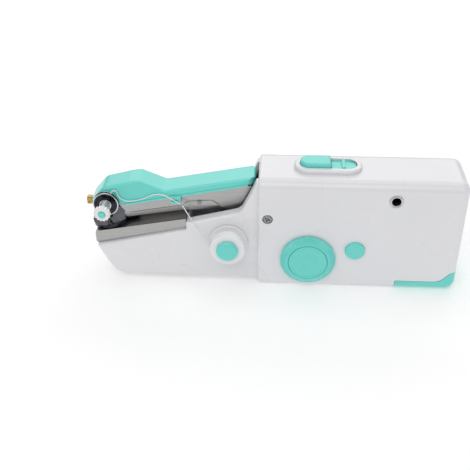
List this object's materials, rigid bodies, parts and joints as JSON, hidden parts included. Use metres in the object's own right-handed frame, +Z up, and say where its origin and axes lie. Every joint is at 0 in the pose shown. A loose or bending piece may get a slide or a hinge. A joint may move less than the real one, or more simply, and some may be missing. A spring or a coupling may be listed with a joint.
{
  "type": "handheld sewing machine",
  "caption": "Battery powered handheld chain-stitch sewing machine with a pivoting needle arm, presser foot, thread spool, handwheel and sliding battery cover.",
  "frame": {"origin": "on the flat base, under the main shaft, in the middle plane of the body", "axes": "+X from the needle end to the tail, +Z up, -Y towards the handwheel side"},
  "size_m": [0.213, 0.0456, 0.0746],
  "materials": {
    "arm_cover": "moulded turquoise plastic",
    "arm_frame": "pressed nickel plated steel",
    "arm_rivet": "plated steel",
    "batteries": "printed metal jacket",
    "battery_contacts": "plated steel",
    "battery_cover": "moulded turquoise plastic",
    "bobbin": "moulded white plastic",
    "bobbin_thread": "white polyester thread",
    "case_screws": "plated steel",
    "cover_contacts": "plated steel",
    "dc_jack": "plated socket ring",
    "drive_fork": "pressed nickel plated steel",
    "feed_dog": "plated steel",
    "feed_rod": "pressed nickel plated steel",
    "foot_screw": "turned brass",
    "front_shell": "moulded white ABS, satin gloss",
    "gear_plate": "pressed nickel plated steel",
    "handwheel": "moulded turquoise plastic",
    "handwheel_cap": "moulded turquoise plastic",
    "idler_gear": "natural acetal",
    "idler_pin": "plated steel",
    "lock_slider": "moulded turquoise plastic",
    "looper": "pressed nickel plated steel",
    "looper_pin": "plated steel",
    "main_gear": "natural acetal",
    "main_shaft": "plated steel",
    "motor": "plated steel",
    "motor_pinion": "turned brass",
    "motor_screws": "plated steel",
    "motor_shaft": "plated steel",
    "needle": "plated steel",
    "needle_clamp": "plated steel",
    "needle_clamp_screw": "turned brass",
    "pivot_screw": "plated steel",
    "power_button": "moulded turquoise plastic",
    "power_spring": "plated steel",
    "power_switch": "moulded black switch body",
    "presser_arm": "pressed nickel plated steel",
    "presser_foot": "black nickel plated steel",
    "presser_pin": "plated steel",
    "presser_spring": "plated steel",
    "rear_shell": "moulded white ABS, satin gloss",
    "shaft_bushes": "turned brass",
    "spool_cap": "moulded turquoise plastic",
    "spool_spindle": "plated steel",
    "spool_spring": "plated steel",
    "stitch_button": "moulded turquoise plastic",
    "stitch_switch": "moulded black switch body",
    "switch_bezel": "moulded white ABS, satin gloss",
    "switch_carrier": "natural acetal",
    "tension_discs": "black nickel plated steel",
    "tension_nut": "moulded white plastic",
    "tension_post": "moulded turquoise plastic",
    "tension_spring": "plated steel",
    "thread_arm": "white polyester thread",
    "thread_feed": "white polyester thread",
    "thread_guide": "moulded turquoise plastic",
    "thread_needle": "white polyester thread",
    "throat_plate": "pressed nickel plated steel",
    "wiring": "insulated wire"
  },
  "bodies": {
    "machine": {"batteries": "batteries", "battery_contacts": "battery_contacts", "case_screws": "case_screws", "dc_jack": "dc_jack", "front_shell": "front_shell", "gear_plate": "gear_plate", "idler_pin": "idler_pin", "looper_pin": "looper_pin", "motor": "motor", "motor_screws": "motor_screws", "pivot_screw": "pivot_screw", "power_spring": "power_spring", "power_switch": "power_switch", "presser_pin": "presser_pin", "presser_spring": "presser_spring", "rear_shell": "rear_shell", "shaft_bushes": "shaft_bushes", "spool_cap": "spool_cap", "spool_spindle": "spool_spindle", "spool_spring": "spool_spring", "stitch_switch": "stitch_switch", "switch_bezel": "switch_bezel", "switch_carrier": "switch_carrier", "thread_feed": "thread_feed", "throat_plate": "throat_plate", "wiring": "wiring"},
    "needle_arm": {"arm_frame": "arm_frame", "arm_rivet": "arm_rivet", "arm_cover": "arm_cover", "drive_fork": "drive_fork", "needle_clamp": "needle_clamp", "needle": "needle", "tension_post": "tension_post", "tension_discs": "tension_discs", "tension_spring": "tension_spring", "thread_guide": "thread_guide", "thread_arm": "thread_arm", "thread_needle": "thread_needle"},
    "battery_door": {"battery_cover": "battery_cover", "cover_contacts": "cover_contacts"},
    "drive": {"handwheel": "handwheel", "handwheel_cap": "handwheel_cap", "main_shaft": "main_shaft", "main_gear": "main_gear"},
    "idler": {"idler_gear": "idler_gear"},
    "rotor": {"motor_shaft": "motor_shaft", "motor_pinion": "motor_pinion"},
    "tension_knob": {"tension_nut": "tension_nut"},
    "clamp_screw": {"needle_clamp_screw": "needle_clamp_screw"},
    "spool": {"bobbin": "bobbin", "bobbin_thread": "bobbin_thread"},
    "presser": {"presser_arm": "presser_arm", "presser_foot": "presser_foot", "foot_screw": "foot_screw"},
    "feed": {"feed_rod": "feed_rod", "feed_dog": "feed_dog"},
    "loop_hook": {"looper": "looper"},
    "power_key": {"power_button": "power_button"},
    "lock_key": {"lock_slider": "lock_slider"},
    "stitch_key": {"stitch_button": "stitch_button"}
  },
  "joints": [
    {"name": "needle_arm_lift", "type": "hinge", "parent": "machine", "child": "needle_arm", "pos_m": [-0.0232, 0, 0.0459], "axis": [0, 1, 0], "range_deg": [0, 8]},
    {"name": "handwheel_turn", "type": "hinge", "parent": "machine", "child": "drive", "pos_m": [0, 0, 0.0202], "axis": [0, 1, 0], "continuous": true},
    {"name": "idler_turn", "type": "hinge", "parent": "machine", "child": "idler", "pos_m": [0.01343, 0, 0.03621], "axis": [0, 1, 0], "continuous": true},
    {"name": "motor_turn", "type": "hinge", "parent": "machine", "child": "rotor", "pos_m": [0.02793, 0, 0.03621], "axis": [0, 1, 0], "continuous": true},
    {"name": "tension_turn", "type": "hinge", "parent": "needle_arm", "child": "tension_knob", "pos_m": [-0.1148, 0, 0.0486], "axis": [0, -1, 0], "range_deg": [-360, 360]},
    {"name": "clamp_screw_turn", "type": "hinge", "parent": "needle_arm", "child": "clamp_screw", "pos_m": [-0.1246, 0, 0.0453], "axis": [-1, 0, 0], "range_deg": [0, 360]},
    {"name": "spool_turn", "type": "hinge", "parent": "machine", "child": "spool", "pos_m": [-0.0453, 0, 0.0291], "axis": [0, -1, 0], "continuous": true},
    {"name": "presser_lift", "type": "hinge", "parent": "machine", "child": "presser", "pos_m": [-0.044, 0, 0.0425], "axis": [0, 1, 0], "range_deg": [0, 3.5], "stiffness_Nm_per_rad": 0.5, "springref_deg": -11.46, "deforming": ["presser_spring"]},
    {"name": "feed_slide", "type": "slide", "parent": "machine", "child": "feed", "axis": [-0.9824, 0, -0.1867], "range_m": [0, 0.0022]},
    {"name": "looper_turn", "type": "hinge", "parent": "machine", "child": "loop_hook", "pos_m": [-0.104, 0, 0.0253], "axis": [0, 1, 0], "range_deg": [0, 21.81]},
    {"name": "battery_cover_slide", "type": "slide", "parent": "machine", "child": "battery_door", "axis": [1, 0, 0], "range_m": [0, 0.036]},
    {"name": "power_press", "type": "slide", "parent": "machine", "child": "power_key", "axis": [0, 0, -1], "range_m": [0, 0.0012], "stiffness_N_per_m": 500, "springref_m": -0.0006, "deforming": ["power_spring"]},
    {"name": "lock_slide", "type": "slide", "parent": "machine", "child": "lock_key", "axis": [1, 0, 0], "range_m": [0, 0.0015]},
    {"name": "stitch_press", "type": "slide", "parent": "machine", "child": "stitch_key", "axis": [0, 1, 0], "range_m": [0, 0.0014], "stiffness_N_per_m": 500, "springref_m": -0.0006}
  ],
  "couplings": [
    {"joint": "idler_turn", "follows": "handwheel_turn", "ratio": -3.3333},
    {"joint": "motor_turn", "follows": "handwheel_turn", "ratio": 10},
    {"joint": "feed_slide", "follows": "needle_arm_lift", "m_per_rad": 0.015756},
    {"joint": "looper_turn", "follows": "needle_arm_lift", "ratio": 2.725}
  ]
}
